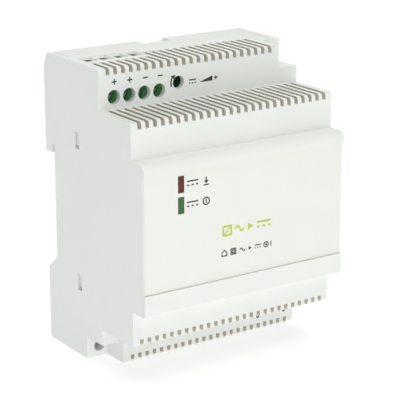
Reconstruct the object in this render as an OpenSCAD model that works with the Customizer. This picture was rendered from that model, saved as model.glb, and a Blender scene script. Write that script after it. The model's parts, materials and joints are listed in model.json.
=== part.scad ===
// DIN rail power supply, 60 W class, stepped installation housing.
// Frame: origin on the rail seat at the rail's centre line.
// +X is to the right as seen from the front, -Y points out of the front, +Z is up.

/* [Housing] */
// Width of the housing
housing_w = 71; // [70:0.5:74]
// Height of the terminal tier, which is the whole housing
housing_h = 91; // [90:0.5:92]
// Distance from the rail seat to the front of the terminal tier
terminal_tier_y = 26.5; // [26:0.1:27]
// Distance from the rail seat to the front of the shoulder tier
shoulder_tier_y = 43.8; // [43:0.1:46]
// Distance from the rail seat to the front of the nose
nose_y = 50.4; // [50:0.1:54]
// Height of the shoulder tier
shoulder_h = 66.6; // [66:0.1:68]
// Height of the nose, which shows through a distribution board's slot
nose_h = 44.8; // [44:0.1:45]
// How far the rail hooks reach behind the seat
hook_y = 5.2; // [5:0.1:5.5]
// Wall thickness of the sides
side_wall = 2.0; // [1.9:0.1:2.1]
// Wall thickness of the fronts and the decks
front_wall = 1.8; // [1.6:0.1:1.8]
// Radius of the nose's upper front edge
nose_r = 2.6; // [1.5:0.1:3]
// Radius of the nose's lower front edge
nose_low_r = 0.8; // [0.5:0.1:1.5]
// Radius of the long front edges of the two other tiers
deck_r = 1.0; // [0.6:0.1:1.2]

/* [Rail fixing] */
// Height of the rail
rail_h = 35; // [35:1:35]
// Rail edge to housing clearance at the top and the bottom
rail_gap = 0.2; // [0.1:0.1:0.3]
// Thickness of the rail's lip, with its clearance
lip_slot = 1.3; // [1.2:0.1:1.5]
// How far the hook and the latch cover the rail's lip
lip_cover = 2.3; // [2:0.1:2.5]
// Height of the raised pad that rests on the rail
seat_h = 30; // [28:0.5:30]
// Width of the sliding latch
latch_w = 20; // [18:0.5:22]

/* [Wall fixing] */
// Width of the two corner notches
notch_w = 7.1; // [7:0.1:7.5]
// Height of the two corner notches
notch_h = 7.2; // [7:0.1:7.5]
// Distance from the rail seat to the notch floor
notch_floor_y = 17.2; // [16.5:0.1:17.5]
// Radius of the wall screw bore
wall_bore_r = 1.8; // [1.6:0.1:1.8]

/* [Vents] */
// Distance between neighbouring vent slots
vent_pitch = 2.61; // [2.5:0.01:2.62]
// Width of a vent slot
vent_w = 1.25; // [1:0.05:1.4]
// How far a slot wraps down the front face
vent_wrap = 2.1; // [1.5:0.1:2.5]
// Number of slots in each terminal deck
deck_slots = 23; // [20:1:23]
// Number of slots in each shoulder deck
shoulder_slots = 26; // [20:1:26]

/* [Label] */
// Depth of the label recess
label_recess = 0.9; // [0.6:0.1:1]
// Distance from the nose's top to the label recess
label_top = 3.2; // [3:0.1:4]
// Height of the label recess
label_h = 35.1; // [34:0.1:35.5]
// Thickness of the label film
label_t = 0.3; // [0.2:0.05:0.4]

/* [Terminals] */
// Distance between output poles
output_pitch = 5.13; // [5.08:0.01:5.2]
// Distance between input poles
input_pitch = 10.16; // [10:0.01:10.2]
// Height of the screw centres above the rail's centre line
screw_z = 36.85; // [36.5:0.05:37]
// Radius of the screwdriver holes in the cover
driver_hole_r = 2.12; // [2:0.02:2.2]
// Shank radius of a clamp screw, M2.5
clamp_screw_r = 1.25; // [1.2:0.05:1.3]

/* [Circuit board] */
// Distance from the rail seat to the board's component side
board_y = 7.6; // [7.4:0.1:7.8]
// Thickness of the board
board_t = 1.6; // [1.5:0.1:1.6]

/* [Hidden] */
$fn = 48;
eps = 0.01;
half_w = housing_w / 2;
half_h = housing_h / 2;
half_shoulder = shoulder_h / 2;
half_nose = nose_h / 2;
inner_x = half_w - side_wall;          // inner face of the cover's side walls
split_y = -6.4;                        // where the cover's decks meet the base
base_x = inner_x - 0.2;                // half width of the base
base_wall = 2.0;
base_side_wall = 1.6;
rear_chamfer_y = 1.9;
rear_chamfer_z = 4.0;
boss_chamfer_z = 0.8;                  // the upper screw boss stands out of the chamfer
foot_chamfer = 0.8;                    // of the lower rear edge

rail_half = rail_h / 2;
seat_half = seat_h / 2;
seat_relief = 0.15;                    // the groove's floor lies this much behind the seat
lip_play = 0.2;                        // room at the lip's edge under the hook and the latch
groove_top = rail_half + rail_gap;
hook_z = groove_top - lip_cover - lip_play;
ramp_z = -rail_half - rail_gap;
ramp_drop = 4.3;                       // the ramp falls this much over hook_y

label_z1 = half_nose - label_top;
label_z0 = label_z1 - label_h;
label_floor_y = -(nose_y - label_recess);
window_x = -22.75;                     // centre line of the two indicator lamps
window_w = 2.1;
window_h = 5.0;
lamp_z = [15.15, 8.95];

deck_slot_x0 = -32.3;
shoulder_slot_x0 = -vent_pitch * (shoulder_slots - 1) / 2;
deck_slot_back = -12.6;
short_slot_back = -18.1;
output_short_slots = 8;
input_short_slots = 7;

output_x = [for (i = [0:3]) -30.25 + i * output_pitch];
input_x = [for (i = [0:1]) 30.15 - i * input_pitch];
trimmer_x = -8.15;
trimmer_z = 38.5;
trimmer_hole_r = 1.95;

wire_y = -12.2;                        // centre of the wire entries
funnel_w = 4.5;
funnel_d = 6.4;
throat_w = 3.2;
throat_d = 4.8;
funnel_h = 0.8;                        // the deck is this thin around the funnels

bore_x = -31.2;                        // wall screw, lower left; the other is turned by 180 degrees
bore_z = -42.1;
boss_x1 = -28.9;
boss_z1 = -39.0;

lip_w = 2.3;                           // width of the lips that hold the latch in its channel

snap_z = 22.1;                         // snap windows, above and below the centre line
snap_y0 = -14.8;
snap_y1 = -12.4;
snap_h = 5.2;

gate_x0 = -4.1;                        // relief for the mould's gate in the rear top edge
gate_x1 = 5.6;
gate_d = 6.4;
gate_h = 1.2;

post_x = 29;                           // board screws
post_z = 28;
post_r = 3;
board_screw_r = 1.25;

board_front = -board_y;
board_back = board_front + board_t;

latch_half = latch_w / 2;
latch_gap = 0.3;
channel_y0 = lip_slot;                 // floor of the latch's channel
channel_y1 = 3.9;                      // inner face of the retaining lips
latch_y0 = channel_y0 + latch_gap;
latch_y1 = channel_y1 - latch_gap;
latch_top = ramp_z + lip_cover + lip_play;
latch_bottom = -half_h + 0.2;
blade_slot_w = 6.4;                    // slot for a screwdriver's blade
blade_slot_z = -42.6;
spring_window_z0 = -38.0;
spring_window_z1 = -24.0;
spring_post_z = -35.2;                 // top of the fixed post, the spring's lower end
spring_window_half = 2.6;
spring_y = 3.25;
spring_coil_r = 1.5;
spring_wire_r = 0.25;
spring_turns = 7;

// Clamp terminal depths, all as Y
body_front = -24.3;
well_r = 2.2;
screw_head_r = 1.9;
screw_head_front = -21.9;
screw_head_back = -20.1;
web_front = -20.0;
web_back = -19.5;
web_r = clamp_screw_r + 0.3;
screw_fit = 0.05;                      // running clearance of the thread, as a plain bore
screw_slot = 0.6;
entry_w = 3.4;                         // wire entry in the terminal body
entry_d = 3.5;
contact_w = 2.5;
contact_pin_w = 1.0;
bar_y0 = -14.4;
bar_y1 = -13.6;
cage_w = 3.9;
cage_h = 3.6;                          // along Z
cage_front = -17.2;                    // with the clamp open
cage_back = -10.3;
cage_front_wall = 1.6;
cage_back_wall = 0.6;
cage_gap = 0.3;
chamber_back = -9.9;
body_z0 = 31.0;
body_z1 = 43.2;

SHELL = [0.93, 0.94, 0.92];
SHELL_SIDE = [0.88, 0.90, 0.88];
GREEN = [0.20, 0.48, 0.24];
STEEL = [0.75, 0.76, 0.78];
BRASS = [0.80, 0.68, 0.36];
BOARD = [0.16, 0.38, 0.22];
FERRITE = [0.20, 0.20, 0.22];
COPPER = [0.72, 0.42, 0.22];
BLACK = [0.10, 0.10, 0.11];
ALU = [0.80, 0.81, 0.83];

// ---------- helpers ----------

module block(lo, hi) {
    translate(lo) cube(hi - lo);
}

// Round bar along Y from y0 to y1
module rod_y(x, z, y0, y1, r) {
    translate([x, max(y0, y1), z]) rotate([90, 0, 0]) cylinder(r = r, h = abs(y1 - y0));
}

// Round bar along X from x0 to x1
module rod_x(y, z, x0, x1, r) {
    translate([min(x0, x1), y, z]) rotate([0, 90, 0]) cylinder(r = r, h = abs(x1 - x0));
}

// Extrudes a Y-Z outline along X
module along_x(x0, x1) {
    translate([x0, 0, 0]) rotate([90, 0, 90]) linear_extrude(height = x1 - x0) children();
}

// The part as it is, and again turned by 180 degrees about the Y axis
module both_corners() {
    children();
    rotate([0, 180, 0]) children();
}

// ---------- housing outlines, in Y-Z ----------

// A tier from its front back to the hook's plane; r_up and r_low round its front corners
module tier(front, half, r_up, r_low) {
    r = max(r_up, r_low);
    translate([front + r, -half]) square([hook_y - front - r, 2 * half]);
    translate([front, -half + r_low]) square([r + eps, 2 * half - r_low - r_up]);
    translate([front + r_up, 0]) square([r - r_up + eps, half]);
    translate([front + r_low, -half]) square([r - r_low + eps, half]);
    if (r > 0) {
        translate([front + r_up, half - r_up]) circle(r = r_up);
        translate([front + r_low, -half + r_low]) circle(r = r_low);
    }
}

module stepped_outline(inset_front, inset_deck, r_deck, r_up, r_low) {
    tier(-terminal_tier_y + inset_front, half_h - inset_deck, r_deck, r_deck);
    tier(-shoulder_tier_y + inset_front, half_shoulder - inset_deck, r_deck, r_deck);
    tier(-nose_y + inset_front, half_nose - inset_deck, r_up, r_low);
}

// What the rail takes out of the outline
module rail_recess() {
    polygon([
        [hook_y + 1, hook_z], [lip_slot, hook_z], [lip_slot, groove_top],
        [-seat_relief, groove_top], [-seat_relief, seat_half], [0, seat_half],
        [0, -seat_half], [-seat_relief, -seat_half], [-seat_relief, ramp_z],
        [hook_y, ramp_z - ramp_drop], [hook_y + 1, ramp_z - ramp_drop]
    ]);
}

module rear_chamfer(s, dy, dz) {
    polygon([
        [hook_y - dy, s * (half_h + eps)], [hook_y + 1, s * (half_h + eps)],
        [hook_y + 1, s * (half_h - dz)], [hook_y, s * (half_h - dz)]
    ]);
}

module outer_outline() {
    difference() {
        stepped_outline(0, 0, deck_r, nose_r, nose_low_r);
        rail_recess();
        rear_chamfer(1, rear_chamfer_y, rear_chamfer_z);
        rear_chamfer(-1, foot_chamfer, foot_chamfer);
    }
}

// ---------- front cover ----------

// One L-shaped slot through a deck and the top of the face below it; side is 1 or -1
module vent_slot(x, deck_z, face_y, back_y, side) {
    z_in = deck_z - front_wall - eps;
    z_wrap = deck_z - vent_wrap;
    x0 = x - vent_w / 2;
    mirror([0, 0, side > 0 ? 0 : 1]) {
        block([x0, face_y - eps, z_in], [x0 + vent_w, back_y, deck_z + eps]);
        block([x0, face_y - eps, z_wrap], [x0 + vent_w, face_y + front_wall + eps, deck_z + eps]);
    }
}

// Thins the deck from inside under a row of funnels
module funnel_pocket(x0, x1, side) {
    mirror([0, 0, side > 0 ? 0 : 1])
        block([x0 - funnel_w / 2, wire_y - funnel_d / 2, half_h - front_wall - eps],
            [x1 + funnel_w / 2, wire_y + funnel_d / 2, half_h - funnel_h]);
}

module deck_vents() {
    for (i = [0:deck_slots - 1]) {
        x = deck_slot_x0 + i * vent_pitch;
        vent_slot(x, half_h, -terminal_tier_y,
            i < output_short_slots ? short_slot_back : deck_slot_back, 1);
        vent_slot(-x, half_h, -terminal_tier_y,
            i < input_short_slots ? short_slot_back : deck_slot_back, -1);
    }
}

module shoulder_vents() {
    for (i = [0:shoulder_slots - 1], side = [1, -1])
        vent_slot(shoulder_slot_x0 + i * vent_pitch, half_shoulder, -shoulder_tier_y,
            -terminal_tier_y - 0.4, side);
}

// Square funnel that leads a wire through a deck
module wire_funnel(x, side) {
    top = half_h + eps;
    low = half_h - funnel_h - eps;
    a = [funnel_w / 2, funnel_d / 2];
    b = [throat_w / 2, throat_d / 2];
    mirror([0, 0, side > 0 ? 0 : 1])
        polyhedron(
            points = [
                [x - b[0], wire_y - b[1], low], [x + b[0], wire_y - b[1], low],
                [x + b[0], wire_y + b[1], low], [x - b[0], wire_y + b[1], low],
                [x - a[0], wire_y - a[1], top], [x + a[0], wire_y - a[1], top],
                [x + a[0], wire_y + a[1], top], [x - a[0], wire_y + a[1], top]
            ],
            faces = [
                [0, 1, 2, 3], [7, 6, 5, 4], [0, 4, 5, 1],
                [1, 5, 6, 2], [2, 6, 7, 3], [3, 7, 4, 0]
            ]);
}

// Walls that close the cover around the lower left notch
module notch_walls() {
    block([-inner_x - eps, -terminal_tier_y + eps, -half_h + eps],
        [-half_w + notch_w + front_wall, -notch_floor_y + front_wall, -half_h + notch_h + front_wall]);
}

module notch_cut() {
    block([-half_w - 1, -terminal_tier_y - 1, -half_h - 1],
        [-half_w + notch_w, -notch_floor_y, -half_h + notch_h]);
    rod_y(bore_x, bore_z, -notch_floor_y - eps, -notch_floor_y + front_wall + 1, wall_bore_r);
    // Room for the base's screw boss
    block([-inner_x, -notch_floor_y + front_wall, -half_h - 1],
        [boss_x1 + 0.1, split_y + eps, boss_z1 + 0.1]);
}

module front_cover() {
    color(SHELL)
    difference() {
        union() {
            difference() {
                along_x(-half_w, half_w) outer_outline();
                along_x(-inner_x, inner_x) stepped_outline(front_wall, front_wall, 0, 0, 0);
                block([-inner_x, split_y, -half_h - 1], [inner_x, hook_y + 1, half_h + 1]);
            }
            both_corners() notch_walls();
            // Thicker panel behind the label recess
            block([-inner_x, -nose_y + label_recess, label_z0 - 1],
                [inner_x, -nose_y + label_recess + front_wall, label_z1 + 1]);
        }
        both_corners() notch_cut();
        deck_vents();
        shoulder_vents();
        for (x = output_x) wire_funnel(x, 1);
        for (x = input_x) wire_funnel(x, -1);
        funnel_pocket(output_x[0], output_x[3], 1);
        funnel_pocket(input_x[1], input_x[0], -1);
        for (x = output_x)
            rod_y(x, screw_z, -terminal_tier_y - 1, -terminal_tier_y + front_wall + 1, driver_hole_r);
        for (x = input_x)
            rod_y(x, -screw_z, -terminal_tier_y - 1, -terminal_tier_y + front_wall + 1, driver_hole_r);
        rod_y(trimmer_x, trimmer_z, -terminal_tier_y - 1, -terminal_tier_y + front_wall + 1,
            trimmer_hole_r);
        block([-half_w - 1, -nose_y - 1, label_z0], [half_w + 1, label_floor_y, label_z1]);
        for (z = lamp_z)
            block([window_x - window_w / 2, -nose_y - 1, z - window_h / 2],
                [window_x + window_w / 2, -nose_y + 6, z + window_h / 2]);
        for (s = [-1, 1], t = [-1, 1])
            block([min(s * (inner_x - 1), s * (half_w + 1)), snap_y0, t * snap_z - snap_h / 2],
                [max(s * (inner_x - 1), s * (half_w + 1)), snap_y1, t * snap_z + snap_h / 2]);
    }
}

module label_plate() {
    inset_x = 0.3;
    inset_z = 0.15;
    color([0.93, 0.94, 0.90])
    difference() {
        block([-half_w + inset_x, label_floor_y - label_t, label_z0 + inset_z],
            [half_w - inset_x, label_floor_y, label_z1 - inset_z]);
        for (z = lamp_z)
            block([window_x - window_w / 2, label_floor_y - 1, z - window_h / 2],
                [window_x + window_w / 2, label_floor_y + 1, z + window_h / 2]);
    }
}

// ---------- rear base ----------

module base_outline() {
    intersection() {
        outer_outline();
        translate([split_y, -half_h]) square([hook_y - split_y + 1, housing_h]);
    }
}

module base_pocket() {
    step_z = groove_top + base_wall;
    back_y = hook_y - base_wall;
    edge_z = half_h - base_wall;
    polygon([
        [split_y - 1, -edge_z], [back_y, -edge_z], [back_y, ramp_z - ramp_drop - base_wall],
        [-base_wall, -step_z], [-base_wall, step_z], [back_y, step_z], [back_y, edge_z],
        [split_y - 1, edge_z]
    ]);
}

module screw_boss() {
    block([-base_x, -notch_floor_y + front_wall + 0.1, -half_h],
        [boss_x1, hook_y - rear_chamfer_y, boss_z1]);
    block([-base_x, 0, -half_h + boss_chamfer_z], [boss_x1, hook_y, boss_z1]);
}

module snap_tongue(side, z) {
    t = 1.5;                           // thickness of the tongue
    barb = 1.5;                        // how far the barb reaches into the side wall
    side_gap = 0.4;
    lead_in = 0.3;
    half = snap_h / 2;
    mirror([side > 0 ? 0 : 1, 0, 0]) {
        block([base_x - t, snap_y0 - 0.8, z - half - side_gap],
            [base_x, split_y + 1, z + half + side_gap]);
        translate([0, 0, z - half + 0.9])
            linear_extrude(height = snap_h - 1.1)
                polygon([
                    [base_x - eps, snap_y0 + 0.15], [base_x + lead_in, snap_y0 + 0.15],
                    [base_x + barb, snap_y1 - 0.7], [base_x + barb, snap_y1 - 0.15],
                    [base_x - eps, snap_y1 - 0.15]
                ]);
    }
}

module latch_channel_walls() {
    block([-latch_half - lip_w, channel_y0 - 1.5, -half_h + eps],
        [latch_half + lip_w, hook_y - eps, ramp_z - ramp_drop]);
    block([-latch_half - lip_w, -base_wall, ramp_z - ramp_drop - eps],
        [latch_half + lip_w, channel_y0 - 0.5, ramp_z - 1]);
}

module latch_channel() {
    w = latch_half + latch_gap;
    rib = latch_half - lip_w + latch_gap;
    block([-w, channel_y0, -half_h - 1], [w, channel_y1, ramp_z + 1]);
    block([-rib, channel_y1 - eps, -half_h - 1], [rib, hook_y + 1, ramp_z + 1]);
}

module rear_base() {
    color(SHELL_SIDE)
    difference() {
        union() {
            difference() {
                along_x(-base_x, base_x) base_outline();
                along_x(-base_x + base_side_wall, base_x - base_side_wall) base_pocket();
            }
            intersection() {
                latch_channel_walls();
                along_x(-base_x, base_x) base_outline();
            }
            both_corners() screw_boss();
            for (s = [-1, 1], t = [-1, 1]) {
                snap_tongue(s, t * snap_z);
                rod_y(s * post_x, t * post_z, board_back, hook_y - 1, post_r);
            }
        }
        difference() {
            latch_channel();
            // Post that the spring pushes against
            block([-spring_window_half + 0.4, 0, spring_window_z0 + 0.6],
                [spring_window_half - 0.4, hook_y - 0.3, spring_post_z]);
        }
        both_corners()
            rod_y(bore_x, bore_z, -notch_floor_y, hook_y + 1, wall_bore_r);
        for (s = [-1, 1], t = [-1, 1])
            rod_y(s * post_x, t * post_z, board_back - 1, 1.5, board_screw_r);
        block([gate_x0, hook_y - gate_d, half_h - gate_h], [gate_x1, hook_y + 1, half_h + 1]);
    }
}

// ---------- rail latch ----------

module rail_latch() {
    rib = latch_half - lip_w;
    color([0.86, 0.88, 0.87])
    difference() {
        union() {
            along_x(-latch_half, latch_half)
                polygon([
                    [latch_y0, latch_bottom], [latch_y1, latch_bottom], [latch_y1, latch_top - 1.6],
                    [latch_y0 + 0.6, latch_top], [latch_y0, latch_top]
                ]);
            along_x(-rib, rib)
                polygon([
                    [latch_y1 - eps, latch_bottom], [hook_y - 0.3, latch_bottom],
                    [hook_y - 0.3, ramp_z - ramp_drop], [latch_y1 - eps, ramp_z - 2]
                ]);
        }
        // Window for the spring
        block([-spring_window_half, 0, spring_window_z0],
            [spring_window_half, hook_y + 1, spring_window_z1]);
        block([-blade_slot_w / 2, latch_y0 + 1.1, blade_slot_z - 0.8],
            [blade_slot_w / 2, hook_y + 1, blade_slot_z + 0.8]);
    }
}

function coil_point(a, turns, r, z0, z1) =
    [r * cos(360 * turns * a), r * sin(360 * turns * a), z0 + (z1 - z0) * a];

module latch_spring() {
    sides = 6;
    steps = spring_turns * 10;
    z0 = spring_post_z + spring_wire_r + 0.02;
    z1 = spring_window_z1 - spring_wire_r - 0.02;
    ring = [for (i = [0:steps]) let (a = i / steps, p = coil_point(a, spring_turns, spring_coil_r, z0, z1),
        out = [cos(360 * spring_turns * a), sin(360 * spring_turns * a), 0])
        [for (k = [0:sides - 1]) p + spring_wire_r * (cos(360 * k / sides) * out
            + sin(360 * k / sides) * [0, 0, 1])]];
    points = [for (section = ring) for (p = section) p];
    side_faces = [for (i = [0:steps - 1]) for (k = [0:sides - 1])
        let (n = (k + 1) % sides) [i * sides + k, i * sides + n, (i + 1) * sides + n, (i + 1) * sides + k]];
    caps = [[for (k = [sides - 1:-1:0]) k], [for (k = [0:sides - 1]) steps * sides + k]];
    color(STEEL) translate([0, spring_y, 0]) polyhedron(points = points, faces = concat(side_faces, caps));
}

// ---------- circuit board ----------

board_x = 31.3;
board_z = 42.6;
pin_hole_r = 0.85;

module main_board() {
    color(BOARD)
    difference() {
        block([-board_x, board_front, -board_z], [board_x, board_back, board_z]);
        both_corners()
            block([-board_x - 1, board_front - 1, -board_z - 1],
                [boss_x1 + 0.5, board_back + 1, boss_z1 + 0.5]);
        for (s = [-1, 1], t = [-1, 1])
            rod_y(s * post_x, t * post_z, board_front - 1, board_back + 1, board_screw_r + 0.2);
        for (x = output_x) rod_y(x, body_z0 + 0.9, board_front - 1, board_back + 1, pin_hole_r);
        for (x = input_x) rod_y(x, -body_z0 - 0.9, board_front - 1, board_back + 1, pin_hole_r);
    }
}

module board_screws() {
    color(STEEL)
    for (s = [-1, 1], t = [-1, 1]) {
        x = s * post_x;
        z = t * post_z;
        difference() {
            rod_y(x, z, board_front, board_front - 1.9, 2.4);
            rod_y(x, z, board_front - 1.2, board_front - 2.2, 0.9);
        }
        rod_y(x, z, board_front - 0.5, 0.5, board_screw_r - 0.05);
    }
}

// ---------- screw clamp terminals, built for the output side; side = -1 turns them over ----------

module terminal_pole_cut(x) {
    half_c = cage_w / 2 + cage_gap;
    half_bar = contact_w / 2 + 0.1;
    half_pin = contact_pin_w / 2 + 0.1;
    rod_y(x, screw_z, body_front - 1, web_front, well_r);
    rod_y(x, screw_z, web_front - 1, web_back + 1, web_r);
    block([x - half_c, web_back, screw_z - cage_h / 2 - cage_gap],
        [x + half_c, chamber_back, screw_z + cage_h / 2 + cage_gap]);
    block([x - entry_w / 2, wire_y - entry_d / 2, screw_z],
        [x + entry_w / 2, wire_y + entry_d / 2, body_z1 + 1]);
    // Slot for the contact bar and its pin
    block([x - half_bar, bar_y0 - 0.1, body_z0 + 0.2], [x + half_bar, bar_y1 + 0.1, screw_z]);
    block([x - half_pin, bar_y0 - 0.1, body_z0 + 0.2], [x + half_pin, board_front + 1, body_z0 + 1.5]);
}

module terminal_body(poles, x0, x1, side) {
    color(GREEN)
    mirror([0, 0, side > 0 ? 0 : 1])
    difference() {
        block([x0, body_front, body_z0], [x1, board_front, body_z1]);
        for (x = poles) terminal_pole_cut(x);
    }
}

module contacts(poles, side) {
    color(BRASS)
    mirror([0, 0, side > 0 ? 0 : 1])
    for (x = poles) {
        block([x - contact_w / 2, bar_y0, body_z0 + 0.4],
            [x + contact_w / 2, bar_y1, screw_z + cage_h / 2]);
        block([x - contact_pin_w / 2, bar_y1 - eps, body_z0 + 0.4],
            [x + contact_pin_w / 2, board_back + 1.6, body_z0 + 1.4]);
    }
}

module clamp_screw(x, side) {
    color(STEEL)
    mirror([0, 0, side > 0 ? 0 : 1])
    difference() {
        union() {
            rod_y(x, screw_z, screw_head_front, screw_head_back, screw_head_r);
            rod_y(x, screw_z, screw_head_back - eps, bar_y0 - 0.05, clamp_screw_r);
        }
        block([x - screw_head_r - 0.3, screw_head_front - 1, screw_z - screw_slot / 2],
            [x + screw_head_r + 0.3, screw_head_front + 1, screw_z + screw_slot / 2]);
    }
}

module clamp_cage(x, side) {
    half_c = cage_w / 2;
    half_z = cage_h / 2;
    wall = 0.5;
    color(BRASS)
    mirror([0, 0, side > 0 ? 0 : 1])
    difference() {
        block([x - half_c, cage_front, screw_z - half_z], [x + half_c, cage_back, screw_z + half_z]);
        block([x - half_c + wall, cage_front + cage_front_wall, screw_z - half_z - 1],
            [x + half_c - wall, cage_back - cage_back_wall, screw_z + half_z + 1]);
        rod_y(x, screw_z, cage_front - 1, cage_front + cage_front_wall + 1, clamp_screw_r + screw_fit);
    }
}

module output_terminal_body() { terminal_body(output_x, -32.85, -12.35, 1); }
module input_terminal_body() { terminal_body(input_x, 17.2, 32.85, -1); }
module output_contacts() { contacts(output_x, 1); }
module input_contacts() { contacts(input_x, -1); }

// ---------- output voltage trimmer ----------

trimmer_half = 3.3;                    // half the width of its square body
trimmer_front = -15.2;
rotor_r = 2.0;
rotor_fit = 0.06;                      // running clearance around the rotor
rotor_front = -15.6;
rotor_back = -12.5;
rotor_slot = 0.7;

module trimmer_body() {
    color([0.15, 0.28, 0.55])
    difference() {
        block([trimmer_x - trimmer_half, trimmer_front, trimmer_z - trimmer_half],
            [trimmer_x + trimmer_half, board_front, trimmer_z + trimmer_half]);
        rod_y(trimmer_x, trimmer_z, trimmer_front - 1, rotor_back + 0.3, rotor_r + rotor_fit);
    }
}

module trimmer_rotor() {
    color(BLACK)
    difference() {
        union() {
            rod_y(trimmer_x, trimmer_z, rotor_front, rotor_front + 2.4, rotor_r);
            rod_y(trimmer_x, trimmer_z, rotor_front + 2.3, rotor_back, 0.6 * rotor_r);
        }
        // A cross with one short arm, so that the setting can be read
        block([trimmer_x - 0.8 * rotor_r, rotor_front - 1, trimmer_z - rotor_slot / 2],
            [trimmer_x + 0.8 * rotor_r, rotor_front + 0.8, trimmer_z + rotor_slot / 2]);
        block([trimmer_x - rotor_slot / 2, rotor_front - 1, trimmer_z - 0.8 * rotor_r],
            [trimmer_x + rotor_slot / 2, rotor_front + 0.8, trimmer_z + 0.2]);
    }
}

// ---------- indicator lamps ----------

lamp_front = label_floor_y - label_t - 0.1;
lamp_back = lamp_front + 7.0;
lamp_w = 1.9;
lamp_h = 4.8;
lamp_rim = 0.4;                        // rim around the foot of a lamp
lead_half = 0.25;
lead_pitch = 2.54;
lamp_board_t = 1.2;

module lamp_board() {
    color(BOARD)
    block([window_x - lamp_board_t / 2, lamp_back + 1.2, 4.5],
        [window_x + lamp_board_t / 2, board_front - 1, 19.5]);
}

module lamp_board_header() {
    color(BLACK)
    block([window_x + lamp_board_t / 2, board_front - 3.4, 6],
        [window_x + lamp_board_t / 2 + 2.5, board_front, 18]);
}

module lamp(z, tint) {
    color(tint) {
        block([window_x - lamp_w / 2, lamp_front, z - lamp_h / 2],
            [window_x + lamp_w / 2, lamp_back, z + lamp_h / 2]);
        block([window_x - lamp_w / 2 - lamp_rim, lamp_back - 1.5, z - lamp_h / 2 - lamp_rim],
            [window_x + lamp_w / 2 + lamp_rim, lamp_back, z + lamp_h / 2 + lamp_rim]);
        for (s = [-1, 1]) {
            z_lead = z + s * lead_pitch / 2;
            block([window_x - lead_half, lamp_back - eps, z_lead - lead_half],
                [window_x + lead_half, lamp_back + 1.1, z_lead + lead_half]);
        }
    }
}

module red_lamp() { lamp(lamp_z[0], [0.62, 0.22, 0.22]); }
module green_lamp() { lamp(lamp_z[1], [0.25, 0.50, 0.25]); }

// ---------- converter parts on the board ----------

core_w = 26;
core_l = 22;
core_d = 9;
core_front = -31.6;
core_back = core_front + core_l;
core_leg = 3.6;
core_centre = 7.6;
core_yoke = 3.8;

module transformer_core() {
    window = (core_w - 2 * core_leg - core_centre) / 2;
    color(FERRITE)
    difference() {
        block([-core_w / 2, core_front, -core_d / 2], [core_w / 2, core_back, core_d / 2]);
        for (s = [-1, 1])
            translate([s * (core_centre + window) / 2, 0, 0])
                block([-window / 2, core_front + core_yoke, -core_d],
                    [window / 2, core_back - core_yoke, core_d]);
    }
}

bobbin_y0 = core_front + core_yoke + 0.2;
bobbin_y1 = core_back - core_yoke - 0.2;

module bobbin_hole() {
    block([-core_centre / 2 - 0.15, bobbin_y0 - 1, -core_d / 2 - 0.15],
        [core_centre / 2 + 0.15, bobbin_y1 + 1, core_d / 2 + 0.15]);
}

module transformer_bobbin() {
    tube = 0.8;
    color(BLACK) {
        difference() {
            union() {
                block([-core_centre / 2 - tube, bobbin_y0, -core_d / 2 - tube],
                    [core_centre / 2 + tube, bobbin_y1, core_d / 2 + tube]);
                for (y = [bobbin_y0, bobbin_y1 - 1])
                    block([-9.1, y, -10.8], [9.1, y + 1, 10.8]);
            }
            bobbin_hole();
        }
        // Feet that carry the bobbin's pins down to the board
        for (s = [-1, 1])
            block([-9.1, bobbin_y1 - eps, s > 0 ? 6.2 : -10.8], [9.1, board_front, s > 0 ? 10.8 : -6.2]);
    }
}

module transformer_winding() {
    color([0.85, 0.78, 0.35])
    difference() {
        block([-8.9, bobbin_y0 + 1.1, -10.2], [8.9, bobbin_y1 - 1.1, 10.2]);
        block([-core_centre / 2 - 0.9, core_front, -core_d / 2 - 0.9],
            [core_centre / 2 + 0.9, core_back, core_d / 2 + 0.9]);
    }
}

// Electrolytic can standing on the board, with a rolled groove near its foot
module can(x, z, r, h, tint) {
    color(tint)
    translate([x, board_front, z]) rotate([90, 0, 0])
    difference() {
        cylinder(r = r, h = h);
        translate([0, 0, 2.2]) rotate_extrude() translate([r + 0.15, 0]) circle(r = 0.6);
        for (a = [0, 90]) rotate([0, 0, a])
            translate([-r * 0.6, -0.2, h - 0.3]) cube([r * 1.2, 0.4, 1]);
    }
}

module bulk_capacitor() { can(22.5, -12.5, 9, 31, [0.20, 0.22, 0.30]); }
module output_capacitor_1() { can(18.4, 20.2, 5, 20, [0.15, 0.18, 0.16]); }
module output_capacitor_2() { can(18.4, 9.4, 5, 20, [0.15, 0.18, 0.16]); }

module suppression_capacitor() {
    color([0.90, 0.75, 0.20]) block([2, board_front - 15, -30.6], [20, board_front, -22.4]);
}

module disc_part(x, z, r, t, tint) {
    leg = 2.2;
    color(tint) {
        translate([x, board_front - leg - r, z - t / 2]) cylinder(r = r, h = t);
        for (s = [-1, 1])
            rod_y(x + s * r * 0.5, z, board_front - leg - 1, board_front, 0.35);
    }
}

module y_capacitor() { disc_part(6.5, 14.2, 4, 3.2, [0.25, 0.45, 0.75]); }
module varistor() { disc_part(-1.5, -37, 5, 4, [0.20, 0.35, 0.65]); }

module fuse() {
    color([0.45, 0.30, 0.20]) rod_y(10.5, -37.5, board_front - 9, board_front, 4.2);
}

choke_x = -13.5;
choke_z = -27;
choke_mid_r = 7;

module choke_core() {
    color(FERRITE)
    translate([choke_x, board_front - 1.2, choke_z]) rotate([90, 0, 0])
        rotate_extrude() translate([choke_mid_r - 2, 1.2]) square([4, 6]);
}

module choke_windings() {
    color(COPPER)
    translate([choke_x, board_front - 1.2, choke_z]) rotate([90, 0, 0])
    for (a = [20, 200]) rotate([0, 0, a])
        rotate_extrude(angle = 140)
            difference() {
                translate([choke_mid_r - 3.2, 0]) square([6.4, 8.4]);
                translate([choke_mid_r - 2.05, 1.15]) square([4.1, 6.1]);
            }
}

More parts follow.
